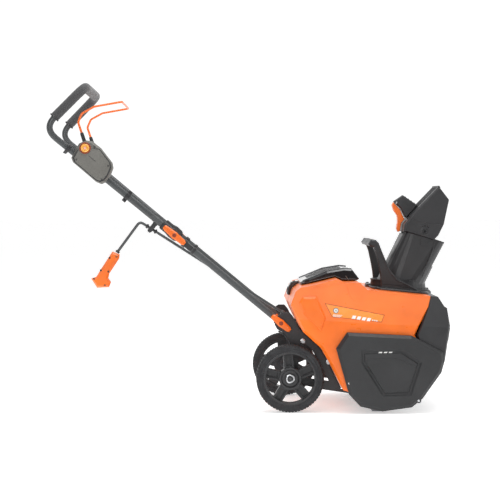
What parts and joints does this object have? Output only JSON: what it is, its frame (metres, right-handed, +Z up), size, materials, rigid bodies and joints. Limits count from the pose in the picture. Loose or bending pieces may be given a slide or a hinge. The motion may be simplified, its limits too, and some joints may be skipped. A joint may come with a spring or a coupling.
{
  "type": "single stage snowblower",
  "caption": "Walk-behind battery snowblower with paddle rotor, turning chute with tilting hood, folding handle with bail switch, side crank and rear wheels.",
  "frame": {"origin": "centre of the bounding box in plan, on the ground under the wheels and scraper", "axes": "+X to the front of the machine, +Y to its left side, +Z up"},
  "size_m": [1.2314, 0.524, 0.994],
  "materials": {
    "orange_plastic": "satin moulded plastic",
    "black_plastic": "fine-grained moulding",
    "dark_plastic": "dark grey fine-grained moulding",
    "grey_plastic": "mid grey moulding",
    "gloss_black": "glossy black moulding",
    "foam_grip": "closed-cell foam sleeve",
    "tyre_rubber": "moulded tread",
    "paddle_rubber": "moulded rubber",
    "tube_paint": "dark grey powder coat",
    "frame_paint": "black powder coat",
    "orange_wire": "dipped orange coat",
    "bright_steel": "zinc plated",
    "scraper_steel": "worn steel",
    "cast_metal": "die cast"
  },
  "bodies": {
    "chassis": {"main_housing": "orange_plastic", "front_scoop": "black_plastic", "auger_housing": "dark_plastic", "side_cover_right": "dark_plastic", "side_cover_left": "dark_plastic", "scraper_bar": "scraper_steel", "frame_bracket_right": "frame_paint", "frame_bracket_left": "frame_paint", "rear_cross_plate": "frame_paint", "axle": "bright_steel", "bearing_right": "bright_steel", "bearing_left": "bright_steel", "motor": "cast_metal", "drive_belt": "paddle_rubber", "battery_bay": "dark_plastic", "battery_pack": "black_plastic", "controller_box": "black_plastic", "chute_ring": "black_plastic", "lift_handle": "black_plastic", "gear_housing": "black_plastic"},
    "auger": {"auger_shaft": "bright_steel", "auger_rotor": "cast_metal", "paddle_front": "paddle_rubber", "paddle_rear": "paddle_rubber", "auger_pulley": "cast_metal"},
    "motor_rotor": {"motor_pulley": "bright_steel"},
    "wheel_right": {"tyre_right": "tyre_rubber", "rim_right": "black_plastic", "hub_cap_right": "bright_steel"},
    "wheel_left": {"tyre_left": "tyre_rubber", "rim_left": "black_plastic", "hub_cap_left": "bright_steel"},
    "lid": {"battery_lid": "gloss_black"},
    "latch": {"lid_latch": "gloss_black"},
    "chute": {"chute_lower": "black_plastic"},
    "hood": {"deflector": "black_plastic", "deflector_handle": "black_plastic"},
    "hood_trigger": {"deflector_trigger": "orange_plastic"},
    "crank": {"crank_rod": "tube_paint", "crank_grip": "orange_plastic"},
    "shaft": {"turning_shaft": "bright_steel"},
    "lower_handle": {"lower_tube_right": "tube_paint", "lower_tube_left": "tube_paint"},
    "upper_handle": {"fold_bracket_right": "black_plastic", "fold_bracket_left": "black_plastic", "upper_handle": "tube_paint", "grip_sleeve": "foam_grip", "switch_box_outer": "grey_plastic", "switch_box_inner": "grey_plastic", "bail_bracket": "black_plastic", "rod_fork": "black_plastic"},
    "button": {"safety_button": "orange_plastic"},
    "bail": {"bail": "orange_wire"},
    "upper_wing_right": {"upper_wing_right": "orange_plastic"},
    "upper_wing_left": {"upper_wing_left": "orange_plastic"},
    "lower_wing_right": {"lower_wing_right": "orange_plastic"},
    "lower_wing_left": {"lower_wing_left": "orange_plastic"}
  },
  "joints": [
    {"name": "wheel_right_spin", "type": "hinge", "parent": "chassis", "child": "wheel_right", "pos_m": [0.1134, -0.2095, 0.1025], "axis": [0, 1, 0], "continuous": true},
    {"name": "wheel_left_spin", "type": "hinge", "parent": "chassis", "child": "wheel_left", "pos_m": [0.1134, 0.2095, 0.1025], "axis": [0, 1, 0], "continuous": true},
    {"name": "auger_spin", "type": "hinge", "parent": "chassis", "child": "auger", "pos_m": [0.4134, 0, 0.122], "axis": [0, 1, 0], "continuous": true},
    {"name": "motor_spin", "type": "hinge", "parent": "chassis", "child": "motor_rotor", "pos_m": [0.2594, -0.221, 0.24], "axis": [0, 1, 0], "continuous": true},
    {"name": "lid_open", "type": "hinge", "parent": "chassis", "child": "lid", "pos_m": [0.3294, 0, 0.399], "axis": [0, 1, 0], "range_deg": [0, 75]},
    {"name": "latch_release", "type": "hinge", "parent": "lid", "child": "latch", "pos_m": [0.1464, 0, 0.3845], "axis": [0, 1, 0], "range_deg": [0, 30], "stiffness_Nm_per_rad": 0.06, "springref_deg": -20.05},
    {"name": "chute_turn", "type": "hinge", "parent": "chassis", "child": "chute", "pos_m": [0.4644, 0, 0.358], "axis": [0, 0, 1], "range_deg": [-80, 80]},
    {"name": "crank_swing", "type": "hinge", "parent": "chassis", "child": "crank", "pos_m": [-0.3436, -0.125, 0.576], "axis": [0.8422, 0, -0.5392], "range_deg": [-80, 80]},
    {"name": "shaft_turn", "type": "hinge", "parent": "chassis", "child": "shaft", "pos_m": [0.1474, -0.125, 0.262], "axis": [0.9445, 0.1356, 0.2992], "range_deg": [-80, 80]},
    {"name": "hood_tilt", "type": "hinge", "parent": "chute", "child": "hood", "pos_m": [0.5394, 0, 0.544], "axis": [0, 1, 0], "range_deg": [0, 40]},
    {"name": "trigger_pull", "type": "hinge", "parent": "hood", "child": "hood_trigger", "pos_m": [0.4544, 0, 0.622], "axis": [0, -1, 0], "range_deg": [0, 3], "stiffness_Nm_per_rad": 0.4, "springref_deg": -8.59},
    {"name": "lower_fold", "type": "hinge", "parent": "chassis", "child": "lower_handle", "pos_m": [0.0874, 0, 0.267], "axis": [0, 1, 0], "range_deg": [0, 15]},
    {"name": "upper_fold", "type": "hinge", "parent": "lower_handle", "child": "upper_handle", "pos_m": [-0.2366, 0, 0.535], "axis": [0, 1, 0], "range_deg": [0, 90]},
    {"name": "button_press", "type": "slide", "parent": "upper_handle", "child": "button", "axis": [0, 1, 0], "range_m": [0, 0.004], "stiffness_N_per_m": 400, "springref_m": -0.002},
    {"name": "bail_pull", "type": "hinge", "parent": "upper_handle", "child": "bail", "pos_m": [-0.5016, 0, 0.797], "axis": [0, -1, 0], "range_deg": [0, 29], "stiffness_Nm_per_rad": 0.5, "springref_deg": -28.65},
    {"name": "upper_wing_right_turn", "type": "hinge", "parent": "upper_handle", "child": "upper_wing_right", "pos_m": [-0.2366, -0.182, 0.535], "axis": [0, 1, 0], "continuous": true},
    {"name": "upper_wing_left_turn", "type": "hinge", "parent": "upper_handle", "child": "upper_wing_left", "pos_m": [-0.2366, 0.182, 0.535], "axis": [0, 1, 0], "continuous": true},
    {"name": "lower_wing_right_turn", "type": "hinge", "parent": "chassis", "child": "lower_wing_right", "pos_m": [0.0874, -0.184, 0.267], "axis": [0, 1, 0], "continuous": true},
    {"name": "lower_wing_left_turn", "type": "hinge", "parent": "chassis", "child": "lower_wing_left", "pos_m": [0.0874, 0.184, 0.267], "axis": [0, 1, 0], "continuous": true}
  ],
  "couplings": [
    {"joint": "motor_spin", "follows": "auger_spin", "ratio": 3.25},
    {"joint": "crank_swing", "follows": "chute_turn", "ratio": 1},
    {"joint": "shaft_turn", "follows": "chute_turn", "ratio": 1}
  ]
}
